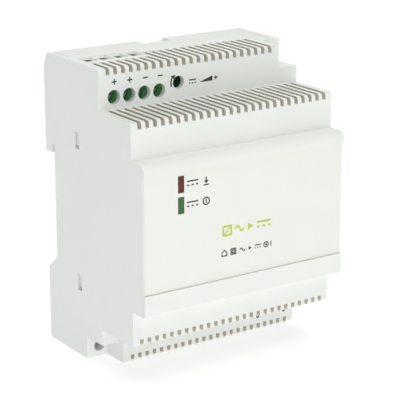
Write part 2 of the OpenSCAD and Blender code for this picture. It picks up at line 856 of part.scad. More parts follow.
module bridge_rectifier() {
    color(BLACK) {
        block([22.2, board_front - 12.6, -30.4], [25.6, board_front - 2, -22.4]);
        for (i = [0:3])
            block([23.6, board_front - 2 - eps, -29.7 + i * 2], [24.2, board_front, -29.1 + i * 2]);
    }
}

heatsink_t = 2;
device_y = -24;                        // height of the device screws

// Aluminium plate standing on the board, x0 is its device side
module heatsink(x_device, outward, z0, z1, z_hole) {
    x_far = x_device + outward * heatsink_t;
    color(ALU)
    difference() {
        union() {
            block([min(x_device, x_far), -32, z0], [max(x_device, x_far), board_front, z1]);
            for (z = [z0 : 4.7 : z1 - 1])
                block([min(x_far - outward * eps, x_far + outward * 0.7), -32, z],
                    [max(x_far - outward * eps, x_far + outward * 0.7), board_front, z + 1]);
        }
        rod_x(device_y, z_hole, x_device - 4, x_device + 4, 1.5);
    }
}

// Power device with a metal tab; x_tab is the face that lies on the pad
module power_device(x_tab, inward, z) {
    x1 = x_tab + inward * 1.3;
    x2 = x_tab + inward * 4.4;
    color(BLACK)
    difference() {
        union() {
            block([min(x_tab, x1), device_y - 3.4, z - 5], [max(x_tab, x1), device_y + 10, z + 5]);
            block([min(x1 - inward * eps, x2), device_y + 2.8, z - 5],
                [max(x1 - inward * eps, x2), device_y + 12, z + 5]);
            for (i = [-1:1])
                block([min(x1, x1 + inward * 0.6), device_y + 12 - eps, z + i * 2.54 - 0.4],
                    [max(x1, x1 + inward * 0.6), board_front, z + i * 2.54 + 0.4]);
        }
        rod_x(device_y, z, x_tab - 5, x_tab + 5, 1.8);
    }
}

primary_face = -28.7;
secondary_face = 28.7;
primary_z = -7;
secondary_z = 12;
pad_t = 0.3;

module primary_heatsink() { heatsink(primary_face, -1, -22, 8, primary_z); }
module secondary_heatsink() { heatsink(secondary_face, 1, 0, 24, secondary_z); }
module primary_transistor() { power_device(primary_face + pad_t, 1, primary_z); }
module output_diode() { power_device(secondary_face - pad_t, -1, secondary_z); }

module device_pads() {
    color([0.75, 0.75, 0.70])
    for (d = [[primary_face, 1, primary_z], [secondary_face, -1, secondary_z]])
        difference() {
            block([min(d[0], d[0] + d[1] * pad_t), device_y - 4.5, d[2] - 6],
                [max(d[0], d[0] + d[1] * pad_t), device_y + 11, d[2] + 6]);
            rod_x(device_y, d[2], d[0] - 1, d[0] + 1, 1.8);
        }
}

module device_screws() {
    color(STEEL)
    for (d = [[primary_face, 1, primary_z], [secondary_face, -1, secondary_z]]) {
        head = d[0] + d[1] * (pad_t + 1.3);
        rod_x(device_y, d[2], head, head + d[1] * 1.6, 2.6);
        rod_x(device_y, d[2], head + d[1] * eps, d[0] - d[1] * heatsink_t, 1.45);
    }
}

module output_inductor() {
    color([0.12, 0.12, 0.13]) rod_y(4, 25, board_front - 12, board_front, 4.8);
}

module chip(x, z, w, h, pins) {
    color(BLACK) {
        block([x - w / 2, board_front - 3.4, z - h / 2], [x + w / 2, board_front - 0.4, z + h / 2]);
        for (i = [0:pins - 1], s = [-1, 1])
            block([x + s * (w / 2 + 0.5) - 0.6, board_front - 1.4, z - h / 2 + (i + 0.5) * h / pins - 0.25],
                [x + s * (w / 2 + 0.5) + 0.6, board_front, z - h / 2 + (i + 0.5) * h / pins + 0.25]);
    }
}

module optocoupler() { chip(-7, 21, 6.4, 4.8, 2); }
module control_chip() { chip(-17, 26, 6.4, 6, 4); }

// ---------- assembly ----------

rear_base();
front_cover();
label_plate();
rail_latch();
latch_spring();
main_board();
board_screws();
output_terminal_body();
output_contacts();
for (i = [0:3]) {
    clamp_screw(output_x[i], 1);
    clamp_cage(output_x[i], 1);
}
input_terminal_body();
input_contacts();
for (i = [0:1]) {
    clamp_screw(input_x[i], -1);
    clamp_cage(input_x[i], -1);
}
trimmer_body();
trimmer_rotor();
lamp_board();
lamp_board_header();
red_lamp();
green_lamp();
transformer_core();
transformer_bobbin();
transformer_winding();
bulk_capacitor();
suppression_capacitor();
y_capacitor();
choke_core();
choke_windings();
fuse();
varistor();
bridge_rectifier();
primary_heatsink();
primary_transistor();
secondary_heatsink();
output_diode();
device_pads();
device_screws();
output_capacitor_1();
output_capacitor_2();
output_inductor();
optocoupler();
control_chip();
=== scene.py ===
"""Looks of the DIN rail power supply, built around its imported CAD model. All lengths are in metres."""
import json
import math

import bmesh
import bpy
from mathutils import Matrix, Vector

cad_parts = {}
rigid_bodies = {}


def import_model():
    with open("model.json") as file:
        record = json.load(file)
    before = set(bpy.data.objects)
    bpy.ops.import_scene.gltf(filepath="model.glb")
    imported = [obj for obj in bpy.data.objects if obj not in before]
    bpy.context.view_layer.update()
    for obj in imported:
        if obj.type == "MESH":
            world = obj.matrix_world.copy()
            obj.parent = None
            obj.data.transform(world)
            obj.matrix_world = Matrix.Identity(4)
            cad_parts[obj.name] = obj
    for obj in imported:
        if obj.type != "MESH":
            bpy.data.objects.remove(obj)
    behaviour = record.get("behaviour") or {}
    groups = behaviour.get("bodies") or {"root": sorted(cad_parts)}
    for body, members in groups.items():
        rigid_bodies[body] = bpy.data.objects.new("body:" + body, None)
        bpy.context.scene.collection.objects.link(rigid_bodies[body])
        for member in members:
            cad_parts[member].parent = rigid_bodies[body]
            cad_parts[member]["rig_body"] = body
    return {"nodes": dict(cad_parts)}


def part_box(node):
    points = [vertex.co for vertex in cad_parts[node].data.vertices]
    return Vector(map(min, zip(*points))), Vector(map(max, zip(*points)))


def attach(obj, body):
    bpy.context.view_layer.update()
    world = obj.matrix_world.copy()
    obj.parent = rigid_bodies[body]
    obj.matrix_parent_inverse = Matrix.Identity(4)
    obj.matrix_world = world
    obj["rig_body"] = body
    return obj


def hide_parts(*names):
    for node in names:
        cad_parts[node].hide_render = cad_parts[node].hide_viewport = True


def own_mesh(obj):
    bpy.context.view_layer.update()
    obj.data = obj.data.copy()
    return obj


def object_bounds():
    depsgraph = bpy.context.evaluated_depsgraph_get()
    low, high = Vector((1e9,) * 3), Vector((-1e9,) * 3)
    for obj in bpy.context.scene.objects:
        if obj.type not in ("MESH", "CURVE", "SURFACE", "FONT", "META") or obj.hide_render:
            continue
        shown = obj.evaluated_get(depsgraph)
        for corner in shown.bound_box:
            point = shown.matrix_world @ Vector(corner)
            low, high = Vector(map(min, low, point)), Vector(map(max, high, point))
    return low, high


MM = 0.001
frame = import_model()
nodes = frame["nodes"]
cad_low, cad_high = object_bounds()
scene = bpy.context.scene
scene.view_settings.view_transform = "Standard"


# ---------- camera, floor and light ----------

def add_camera():
    """A long lens from the front left and above, aimed along the photograph's line of sight."""
    yaw, pitch = math.radians(34.24), math.radians(16.61)
    data = bpy.data.cameras.new("camera")
    data.sensor_width = 36.0
    data.lens = 145.35
    data.clip_start, data.clip_end = 0.02, 20.0
    camera = bpy.data.objects.new("camera", data)
    camera.location = (-0.2639, -0.4135, 0.1408)
    forward = Vector((math.sin(yaw) * math.cos(pitch), math.cos(yaw) * math.cos(pitch), -math.sin(pitch)))
    camera.rotation_euler = forward.to_track_quat("-Z", "Y").to_euler()
    scene.collection.objects.link(camera)
    scene.camera = camera


def add_area(name, place, target, size, power, tint):
    """A soft box of the given width and height, in watts, that faces its target."""
    data = bpy.data.lights.new(name, "AREA")
    data.shape = "RECTANGLE"
    data.size, data.size_y = size
    data.energy = power
    data.color = tint
    lamp = bpy.data.objects.new(name, data)
    lamp.location = place
    lamp.rotation_euler = (Vector(target) - Vector(place)).to_track_quat("-Z", "Y").to_euler()
    scene.collection.objects.link(lamp)


def add_light():
    """A broad key from the front left, a warm fill above, a weak one behind, and a cool room."""
    middle = (0, -0.02, 0)
    add_area("key", (-0.3, -0.97, 0.15), middle, (0.9, 0.5), 2.9, (1.0, 0.995, 0.97))
    add_area("top_fill", (0.05, -0.2, 0.9), middle, (0.8, 0.8), 4.0, (1.0, 0.97, 0.915))
    add_area("back_fill", (0.5, 0.8, 0.5), middle, (0.7, 0.7), 0.7, (1.0, 0.97, 0.94))
    world = bpy.data.worlds.new("studio")
    world.use_nodes = True
    back = world.node_tree.nodes["Background"]
    back.inputs["Color"].default_value = (0.92, 1.0, 0.98, 1.0)
    back.inputs["Strength"].default_value = 0.38
    scene.world = world


def link_mesh(name, mesh):
    """A new object in the scene for a mesh."""
    piece = bpy.data.objects.new(name, mesh)
    scene.collection.objects.link(piece)
    return piece


def add_floor():
    """A pale sweep: flat under the supply and curving up far behind it."""
    half, front, depth, rise, radius, steps = 2.5, -2.5, 1.6, 2.2, 0.6, 12
    bottom = cad_low.z
    profile = [(front, bottom)]
    for i in range(steps + 1):
        turn = math.pi / 2 * i / steps
        profile.append((depth + radius * math.sin(turn), bottom + radius * (1 - math.cos(turn))))
    profile.append((depth + radius, bottom + rise))
    mesh = bpy.data.meshes.new("floor")
    verts = [(x, y, z) for y, z in profile for x in (-half, half)]
    faces = [(2 * i, 2 * i + 1, 2 * i + 3, 2 * i + 2) for i in range(len(profile) - 1)]
    mesh.from_pydata(verts, [], faces)
    floor = link_mesh("floor", mesh)
    for face in mesh.polygons:
        face.use_smooth = True
    mesh.materials.append(floor_paint())


# ---------- shader helpers ----------

# A Mix node has sockets for each kind of data; these are its colour ones
MIX_FIRST, MIX_SECOND, MIX_RESULT = 6, 7, 2


class Shader:
    """A new material with a Principled shader, and short ways to drive it from noise."""

    def __init__(self, name, colour, roughness=0.5, metallic=0.0):
        self.material = bpy.data.materials.new(name)
        self.material.use_nodes = True
        self.tree = self.material.node_tree
        self.body = self.tree.nodes["Principled BSDF"]
        self.colour = tuple(colour)
        self.set("Base Color", (*colour, 1.0))
        self.set("Roughness", roughness)
        self.set("Metallic", metallic)
        self.place = self.tree.nodes.new("ShaderNodeTexCoord").outputs["Object"]
        self.height = None

    def set(self, socket, value):
        self.body.inputs[socket].default_value = value

    def link(self, source, target):
        self.tree.links.new(source, target)

    def node(self, kind, **inputs):
        made = self.tree.nodes.new(kind)
        for key, value in inputs.items():
            made.inputs[key.replace("_", " ")].default_value = value
        return made

    def stretched(self, scale):
        """Object coordinates, scaled by a factor along each axis."""
        mapping = self.node("ShaderNodeMapping")
        mapping.inputs["Scale"].default_value = scale
        self.link(self.place, mapping.inputs["Vector"])
        return mapping.outputs["Vector"]

    def noise(self, scale, detail=3.0, roughness=0.55, vector=None):
        made = self.node("ShaderNodeTexNoise", Scale=scale, Detail=detail, Roughness=roughness)
        self.link(vector or self.place, made.inputs["Vector"])
        return made.outputs["Fac"]

    def wave(self, scale, axis="X", distortion=0.0):
        made = self.node("ShaderNodeTexWave", Scale=scale, Distortion=distortion)
        made.bands_direction = axis
        self.link(self.place, made.inputs["Vector"])
        return made.outputs["Fac"]

    def cells(self, scale):
        made = self.node("ShaderNodeTexVoronoi", Scale=scale)
        self.link(self.place, made.inputs["Vector"])
        return made.outputs["Distance"]

    def spread(self, fac, low, high, from_low=0.3, from_high=0.7):
        """Maps a factor on to the span low to high."""
        made = self.node(
            "ShaderNodeMapRange", From_Min=from_low, From_Max=from_high, To_Min=low, To_Max=high
        )
        self.link(fac, made.inputs["Value"])
        return made.outputs["Result"]

    def mix(self, fac, first, second):
        """Mixes two colours, each a socket or a plain (r, g, b)."""
        made = self.tree.nodes.new("ShaderNodeMix")
        made.data_type = "RGBA"
        self.link(fac, made.inputs["Factor"])
        for socket, value in ((MIX_FIRST, first), (MIX_SECOND, second)):
            if isinstance(value, bpy.types.NodeSocket):
                self.link(value, made.inputs[socket])
            else:
                made.inputs[socket].default_value = (*value, 1.0)
        return made.outputs[MIX_RESULT]

    def tones(self, fac, dark, light=1.0):
        """Base colour varied between a darker and a lighter tone of itself."""
        low = tuple(c * dark for c in self.colour)
        high = tuple(min(c * light, 1.0) for c in self.colour)
        return self.mix(fac, low, high)

    def paint(self, colour):
        self.link(colour, self.body.inputs["Base Color"])

    def rough(self, fac, low, high):
        self.link(self.spread(fac, low, high), self.body.inputs["Roughness"])

    def bump(self, fac, depth):
        """Adds a height of depth metres, on top of the bumps there already."""
        made = self.node("ShaderNodeBump", Strength=1.0, Distance=depth)
        self.link(fac, made.inputs["Height"])
        if self.height is not None:
            self.link(self.height, made.inputs["Normal"])
        self.height = made.outputs["Normal"]
        self.link(self.height, self.body.inputs["Normal"])


# ---------- finishes ----------

def floor_paint():
    """Backlit pale sweep: its own light keeps it white around the supply, with a soft shadow."""
    s = Shader("floor_paint", (0.64, 0.64, 0.64), 0.85)
    s.paint(s.tones(s.noise(3.0), 0.985, 1.01))
    s.set("Emission Color", (1.0, 1.0, 1.0, 1.0))
    s.set("Emission Strength", 0.54)
    return s.material


def moulded(name, colour, roughness, grain=9000.0, depth=0.004, mottle=0.965):
    """Moulded plastic: fine spark grain, faint flow mottling and slightly uneven gloss."""
    s = Shader(name, colour, roughness)
    s.paint(s.tones(s.noise(70.0, 4.0), mottle, 1.02))
    s.rough(s.noise(400.0, 4.0), roughness - 0.06, roughness + 0.07)
    s.bump(s.noise(grain, 2.0, 0.6), depth * MM)
    s.bump(s.noise(55.0, 2.0), 0.02 * MM)
    return s.material


def film():
    """Satin printed film with a very fine paper-like tooth."""
    s = Shader("label_film", (0.86, 0.868, 0.83), 0.42)
    s.paint(s.tones(s.noise(120.0, 5.0), 0.975, 1.01))
    s.rough(s.noise(2500.0, 3.0), 0.36, 0.5)
    s.bump(s.noise(6000.0, 2.0), 0.003 * MM)
    s.bump(s.noise(40.0, 1.0), 0.03 * MM)
    return s.material


def ink(name, colour):
    """Screen printed ink with slightly broken coverage."""
    s = Shader(name, colour, 0.5)
    s.paint(s.tones(s.noise(5000.0, 3.0), 0.8, 1.25))
    s.rough(s.noise(3000.0, 2.0), 0.4, 0.6)
    s.bump(s.noise(7000.0, 2.0), 0.004 * MM)
    return s.material


def plated(name, colour, roughness):
    """Plated metal: drawn streaks, a cloudy tarnish and pin-point stains."""
    s = Shader(name, colour, roughness, 1.0)
    streaks = s.noise(1.0, 4.0, 0.6, s.stretched((900.0, 900.0, 60.0)))
    cloudy = s.tones(s.noise(260.0, 5.0, 0.7), 0.72, 1.08)
    stain = tuple(c * 0.4 for c in colour)
    s.paint(s.mix(s.spread(s.cells(1500.0), 0.35, 0.0, 0.0, 0.12), cloudy, stain))
    s.rough(streaks, roughness - 0.08, roughness + 0.16)
    s.bump(streaks, 0.006 * MM)
    return s.material


def brushed(name, colour):
    """Rolled sheet: long fine lines along Z and a few dull patches."""
    s = Shader(name, colour, 0.36, 1.0)
    lines = s.noise(1.0, 5.0, 0.65, s.stretched((3500.0, 3500.0, 90.0)))
    s.paint(s.tones(lines, 0.82, 1.05))
    s.rough(s.noise(180.0, 4.0), 0.28, 0.48)
    s.bump(lines, 0.008 * MM)
    return s.material


def board_mask():
    """Solder mask over a weave of glass, with copper tracks that show as lighter bands."""
    s = Shader("circuit_board", (0.035, 0.17, 0.065), 0.32)
    tracks = s.wave(95.0, "X", 6.0)
    islands = s.spread(s.noise(150.0, 1.0), 0.0, 1.0, 0.48, 0.52)
    under = s.mix(s.spread(tracks, 0.0, 1.0, 0.55, 0.6), (0.03, 0.145, 0.055), (0.05, 0.24, 0.09))
    s.paint(s.mix(islands, under, (0.045, 0.215, 0.08)))
    s.rough(s.noise(500.0, 3.0), 0.25, 0.42)
    for axis in "XZ":
        s.bump(s.wave(1600.0, axis), 0.006 * MM)
    s.bump(tracks, 0.03 * MM)
    return s.material


def lens(name, colour):
    """Diffused epoxy of an unlit lamp: coloured, a little translucent, with a cloudy body."""
    s = Shader(name, colour, 0.45)
    s.paint(s.tones(s.noise(900.0, 4.0), 0.82, 1.15))
    s.rough(s.noise(1500.0, 3.0), 0.38, 0.54)
    s.set("Subsurface Weight", 0.25)
    s.set("Subsurface Radius", (0.6 * MM, 0.3 * MM, 0.3 * MM))
    s.bump(s.noise(2500.0, 2.0), 0.004 * MM)
    return s.material


def sintered():
    """Ferrite: charcoal, granular, with lighter ground specks."""
    s = Shader("ferrite", (0.045, 0.045, 0.05), 0.55)
    specks = s.spread(s.cells(4200.0), 1.0, 0.0, 0.0, 0.25)
    s.paint(s.mix(specks, (0.032, 0.032, 0.036), (0.11, 0.11, 0.115)))
    s.rough(s.noise(900.0, 4.0), 0.42, 0.68)
    s.bump(s.noise(3500.0, 4.0), 0.02 * MM)
    return s.material


def tape():
    """Polyester tape in overlapping turns, with the wire's ridges showing through."""
    s = Shader("winding_tape", (0.66, 0.47, 0.05), 0.22)
    turns = s.wave(75.0, "Y", 0.4)
    film_edge = s.spread(turns, 0.0, 1.0, 0.86, 0.92)
    s.paint(s.mix(film_edge, s.tones(s.noise(200.0, 4.0), 0.8, 1.1), (0.36, 0.24, 0.03)))
    s.rough(s.noise(300.0, 3.0), 0.15, 0.34)
    s.set("Coat Weight", 0.4)
    s.bump(turns, 0.05 * MM)
    s.bump(s.wave(420.0, "Y", 0.6), 0.02 * MM)
    return s.material


def sleeve():
    """Shrink sleeve: dark, glossy, gently puckered."""
    s = Shader("capacitor_sleeve", (0.022, 0.035, 0.07), 0.25)
    s.paint(s.tones(s.noise(150.0, 4.0), 0.7, 1.4))
    s.rough(s.noise(250.0, 3.0), 0.18, 0.36)
    s.set("Coat Weight", 0.5)
    s.bump(s.noise(1.0, 3.0, 0.5, s.stretched((500.0, 120.0, 500.0))), 0.05 * MM)
    return s.material


def dipped(name, colour):
    """Thick dipped or cast coating: glossy, pooled, with pinholes."""
    s = Shader(name, colour, 0.28)
    s.paint(s.tones(s.noise(220.0, 5.0), 0.75, 1.15))
    s.rough(s.noise(500.0, 3.0), 0.2, 0.42)
    s.set("Coat Weight", 0.4)
    s.bump(s.noise(240.0, 3.0), 0.12 * MM)
    s.bump(s.cells(1800.0), 0.012 * MM)
    return s.material


def enamelled():
    """Enamelled copper wire: warm metal under a clear, slightly uneven lacquer."""
    s = Shader("copper_enamel", (0.60, 0.21, 0.07), 0.3, 0.85)
    s.paint(s.tones(s.noise(700.0, 4.0), 0.65, 1.2))
    s.rough(s.noise(900.0, 3.0), 0.2, 0.42)
    s.set("Coat Weight", 0.6)
    s.bump(s.noise(2200.0, 2.0), 0.01 * MM)
    return s.material


def silicone():
    """Silicone pad: matt grey over a woven backing."""
    s = Shader("insulating_pad", (0.50, 0.50, 0.45), 0.7)
    s.paint(s.tones(s.noise(600.0, 4.0), 0.85, 1.1))
    s.rough(s.noise(700.0, 3.0), 0.6, 0.82)
    for axis in "YZ":
        s.bump(s.wave(1500.0, axis), 0.01 * MM)
    return s.material


def make_materials():
    """All finishes by name. A slot's name is also its finish's name."""
    return {
        "housing_light": moulded("housing_light", (0.86, 0.872, 0.852), 0.46),
        # slot walls: a darker, warmer copy of the housing plastic, as painted shade and painted warm bounce
        # light
        "slot_wall_painted_shade": moulded("slot_wall_painted_shade", (0.68, 0.635, 0.53), 0.6),
        "housing_grey": moulded("housing_grey", (0.85, 0.862, 0.842), 0.5),
        "latch_grey": moulded("latch_grey", (0.70, 0.725, 0.71), 0.42, 7000.0),
        "label_film": film(),
        "steel": plated("steel", (0.62, 0.63, 0.64), 0.32),
        "tinned_brass": plated("tinned_brass", (0.66, 0.55, 0.30), 0.36),
        "circuit_board": board_mask(),
        "terminal_green": moulded("terminal_green", (0.08, 0.40, 0.12), 0.34, 6000.0, 0.006, 0.85),
        "trimmer_blue": moulded("trimmer_blue", (0.03, 0.075, 0.30), 0.36, 6000.0, 0.004, 0.85),
        "black_plastic": moulded("black_plastic", (0.018, 0.018, 0.02), 0.42, 5000.0, 0.008, 0.7),
        "lamp_red": lens("lamp_red", (0.122, 0.010, 0.010)),
        "lamp_green": lens("lamp_green", (0.040, 0.13, 0.034)),
        "ferrite": sintered(),
        "winding_tape": tape(),
        "capacitor_sleeve": sleeve(),
        "yellow_film": dipped("yellow_film", (0.72, 0.44, 0.03)),
        "disc_blue": dipped("disc_blue", (0.03, 0.12, 0.42)),
        "copper_enamel": enamelled(),
        "fuse_brown": dipped("fuse_brown", (0.13, 0.055, 0.03)),
        "aluminium": brushed("aluminium", (0.70, 0.71, 0.73)),
        "insulating_pad": silicone(),
        "ink_dark": ink("ink_dark", (0.030, 0.031, 0.034)),
        "ink_lime": ink("ink_lime", (0.50, 0.62, 0.085)),
    }


# ---------- pieces from CAD nodes ----------

def smooth(mesh):
    for face in mesh.polygons:
        face.use_smooth = True


def dress(piece, slot, *finishes):
    """Gives a piece its slot, and the finish of that slot or the ones named."""
    piece.data.materials.clear()
    for finish in finishes or (slot,):
        piece.data.materials.append(materials[finish])


def clean_mesh(node):
    """A copy of a CAD node's mesh with its flat faces joined, shaded smooth."""
    mesh = nodes[node].data.copy()
    bm = bmesh.new()
    bm.from_mesh(mesh)
    bmesh.ops.remove_doubles(bm, verts=bm.verts, dist=2e-6)
    bmesh.ops.dissolve_limit(bm, angle_limit=math.radians(0.5), verts=bm.verts, edges=bm.edges)
    bm.to_mesh(mesh)
    bm.free()
    smooth(mesh)
    return mesh


def rounded_copy(node, slot, width, segments):
    """A clean copy of a CAD node with its edges rounded, which replaces the node. The width is in mm."""
    piece = link_mesh(node + "_shown", clean_mesh(node))
    bevel = piece.modifiers.new("rounding", "BEVEL")
    bevel.width = width * MM
    bevel.segments = segments
    bevel.limit_method = "ANGLE"
    bevel.angle_limit = math.radians(30)
    bevel.miter_outer = "MITER_SHARP"
    piece.modifiers.new("even_normals", "WEIGHTED_NORMAL")
    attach(piece, nodes[node]["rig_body"])
    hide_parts(node)
    dress(piece, slot)
    return piece


def paint_slot_wall_shade(cover):
    """The cut walls of the vent slots get a darker, warmer finish: painted shade, and painted warm light
    bounced from inside the housing.
    """
    dress(cover, "housing_light", "housing_light", "slot_wall_painted_shade")
    deck_from_z, deck_rear_y = 42.5 * MM, -12.0 * MM
    shoulder_z, shoulder_rear_y = (30.5 * MM, 33.5 * MM), -26.6 * MM
    inner_x = cad_high.x - 2.0 * MM    # leaves out the housing's own side walls
    widest = 45 * MM * MM              # leaves out the corner notches' walls
    for face in cover.data.polygons:
        x, y, z = face.center
        in_deck = abs(z) > deck_from_z and y < deck_rear_y
        in_shoulder = shoulder_z[0] < abs(z) < shoulder_z[1] and y < shoulder_rear_y
        sideways = abs(face.normal.x) > 0.9
        if (in_deck or in_shoulder) and abs(x) < inner_x and sideways and face.area < widest:
            face.material_index = 1


# ---------- pieces made from scratch ----------

# Faces of a box or wedge whose corners go round its near end, then round its far end
BOX_FACES = [(0, 1, 2, 3), (7, 6, 5, 4), (0, 4, 5, 1), (1, 5, 6, 2), (2, 6, 7, 3), (3, 7, 4, 0)]


class Solid:
    """Collects closed shapes into one mesh, which rides on a body and takes a slot's finish."""

    def __init__(self):
        self.verts = []
        self.faces = []

    def add(self, verts, faces):
        start = len(self.verts)
        self.verts += [tuple(c * MM for c in v) for v in verts]
        self.faces += [tuple(start + i for i in face) for face in faces]

    def make(self, name, slot, body, finish=None, replaces=(), flat=False):
        mesh = bpy.data.meshes.new(name)
        mesh.from_pydata(self.verts, [], self.faces)
        bm = bmesh.new()
        bm.from_mesh(mesh)
        bmesh.ops.recalc_face_normals(bm, faces=bm.faces)
        bm.to_mesh(mesh)
        bm.free()
        if not flat:
            smooth(mesh)
            mesh.set_sharp_from_angle(angle=math.radians(40))
        piece = link_mesh(name, mesh)
        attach(piece, body)
        for node in replaces:
            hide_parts(node)
        dress(piece, slot, finish or slot)
        return piece

    # Shapes on a front plane, as (x, z) points in mm, from depth y towards the viewer
    def prism(self, outline, y, thickness):
        n = len(outline)
        verts = [(x, y, z) for x, z in outline] + [(x, y - thickness, z) for x, z in outline]
        sides = [(i, (i + 1) % n, n + (i + 1) % n, n + i) for i in range(n)]
        self.add(verts, [tuple(range(n)), tuple(range(2 * n - 1, n - 1, -1))] + sides)

    def ribbon(self, path, width, y, thickness, closed=False):
        """A stroke of even width along a path, with mitred corners."""
        n = len(path)
        left, right = [], []
        for i, (x, z) in enumerate(path):
            before = path[i - 1] if closed or i else None
            after = path[(i + 1) % n] if closed or i < n - 1 else None
            turns = []
            for a, b in ((before, (x, z)), ((x, z), after)):
                if a is not None and b is not None:
                    length = math.hypot(b[0] - a[0], b[1] - a[1])
                    turns.append(Vector(((a[1] - b[1]) / length, (b[0] - a[0]) / length)))
            across = sum(turns, Vector((0.0, 0.0))).normalized()
            reach = width / 2 / max(across.dot(turns[0]), 0.35)
            left.append((x + across.x * reach, z + across.y * reach))
            right.append((x - across.x * reach, z - across.y * reach))
        verts = [(p[0], depth, p[1]) for depth in (y, y - thickness) for p in left + right]
        faces = []
        for i in range(n if closed else n - 1):
            a, b = i, (i + 1) % n
            c, d = n + b, n + a
            low, high = (a, b, c, d), tuple(2 * n + k for k in (d, c, b, a))
            faces += [low, high, (b, a, 2 * n + a, 2 * n + b), (d, c, 2 * n + c, 2 * n + d)]
        if not closed:
            for a, b in ((0, n), (2 * n - 1, n - 1)):
                faces.append((a, b, 2 * n + b, 2 * n + a))
        self.add(verts, faces)

    def lathe(self, profile, x, z):
        """Turns a (radius, y) outline, which starts and ends on the axis, about an axis along Y."""
        segments = 48
        verts, rings = [], []
        for radius, y in profile:
            if radius < 1e-6:
                rings.append([len(verts)])
                verts.append((x, y, z))
            else:
                rings.append(list(range(len(verts), len(verts) + segments)))
                for k in range(segments):
                    turn = 2 * math.pi * k / segments
                    verts.append((x + radius * math.cos(turn), y, z + radius * math.sin(turn)))
        faces = []
        for a, b in zip(rings, rings[1:]):
            for k in range(segments):
                n = (k + 1) % segments
                face = [a[k % len(a)], a[n % len(a)], b[n % len(b)], b[k % len(b)]]
                faces.append(tuple(dict.fromkeys(face)))
        self.add(verts, faces)

    def tube(self, path, radius, sides=8):
        """A round wire along a path, with flat ends."""
        points = [Vector(p) for p in path]
        verts, faces = [], []
        last = len(points) - 1
        normal = None
        for i, point in enumerate(points):
            along = (points[min(i + 1, last)] - points[max(i - 1, 0)]).normalized()
            if normal is None:
                normal = along.orthogonal().normalized()
            normal = (normal - along * normal.dot(along)).normalized()
            side = along.cross(normal)
            for k in range(sides):
                turn = 2 * math.pi * k / sides
                verts.append(tuple(point + radius * (math.cos(turn) * normal + math.sin(turn) * side)))
        for i in range(last):
            for k in range(sides):
                n = (k + 1) % sides
                faces.append((i * sides + k, i * sides + n, (i + 1) * sides + n, (i + 1) * sides + k))
        faces += [tuple(range(sides)), tuple(range(last * sides + sides - 1, last * sides - 1, -1))]
        self.add(verts, faces)


def polar(x, z, radius, degrees):
    """The point at an angle from +X towards +Z, seen from a centre."""
    turn = math.radians(degrees)
    return (x + radius * math.cos(turn), z + radius * math.sin(turn))


def arc(x, z, radius, start, end, steps):
    """Points on an arc, angles in degrees."""
    return [polar(x, z, radius, start + (end - start) * i / steps) for i in range(steps + 1)]


INK = 0.02                             # height of a printed mark, in mm


class Print(Solid):
    """Generic marks printed on a front plane; sizes in mm."""

    def __init__(self, y, weight):
        super().__init__()
        self.y, self.weight, self.thickness = y, weight, INK

    def line(self, path, width=None, closed=False):
        self.ribbon(path, width or self.weight, self.y, self.thickness, closed)

    def shape(self, outline):
        self.prism(outline, self.y, self.thickness)

    def bar(self, x0, z0, x1, z1):
        self.shape([(x0, z0), (x1, z0), (x1, z1), (x0, z1)])

    def ring(self, x, z, radius):
        points = 32
        self.line(arc(x, z, radius, 0, 360 - 360 / points, points - 1), closed=True)

    def minus(self, x, z, half):
        self.bar(x - half, z - self.weight / 2, x + half, z + self.weight / 2)

    def plus(self, x, z, half):
        w = self.weight / 2
        quarter = [(half, -w), (half, w), (w, w)]
        points = []
        for _ in range(4):
            points += quarter
            quarter = [(-b, a) for a, b in quarter]
        self.shape([(x + a, z + b) for a, b in points])

    def wave_mark(self, x, z, half, height):
        """Sign for alternating current."""
        self.line([(x + half * (i / 12 - 1), z + height * math.sin(math.pi * i / 12)) for i in range(25)])

    def direct_mark(self, x, z, half, gap):
        """Sign for direct current: a line over three dashes."""
        self.bar(x - half, z + gap / 2, x + half, z + gap / 2 + self.weight)
        step = 2 * half / 5
        for i in (0, 2, 4):
            left = x - half + i * step
            self.bar(left, z - gap / 2 - self.weight, left + step, z - gap / 2)

    def squares(self, x, z, half):
        """Sign for double insulation."""
        for size in (half, half * 0.5):
            corners = ((-1, -1), (1, -1), (1, 1), (-1, 1))
            self.line([(x + a * size, z + b * size) for a, b in corners], closed=True)

    def house(self, x, z, half):
        """Sign for indoor use."""
        self.line([(x - half, z - half), (x + half, z - half), (x + half, z + half * 0.15),
                   (x, z + half * 1.05), (x - half, z + half * 0.15)], closed=True)


TERMINAL_FACE_Y = -26.5                # front of both terminal tiers, in mm
PLUS_X, MINUS_X = (-30.1, -24.9), (-19.6, -14.5)
INPUT_X = (30.15, 19.99)
TRIMMER = (-8.15, 38.5)                # x and z of its hole


def add_terminal_marks():
    """Polarity of the outputs, the trimmer's sense and the kind of input."""
    marks = Print(TERMINAL_FACE_Y, 0.40)
    for x in PLUS_X:
        marks.plus(x, 41.3, 0.85)
    for x in MINUS_X:
        marks.minus(x, 41.3, 0.85)
    # Curved arrow beside the trimmer's hole
    reach, half_head, head_from, head_tip = 2.65, 0.8, 144, 115
    marks.line(arc(*TRIMMER, reach, 205, head_from, 10), 0.5)
    marks.shape([polar(*TRIMMER, reach, head_tip),
                 polar(*TRIMMER, reach - half_head, head_from),
                 polar(*TRIMMER, reach + half_head, head_from)])
    # Direct current, with a wedge from less to more
    marks.direct_mark(-3.2, 38.2, 1.3, 0.55)
    marks.shape([(-0.9, 37.55), (4.0, 37.55), (4.0, 39.15)])
    marks.plus(5.15, 38.35, 0.6)
    for x in INPUT_X:
        marks.wave_mark(x + 1.2, -40.9, 0.95, 0.55)
    marks.make("terminal_marks", "housing_light", "housing", "ink_dark", flat=True)


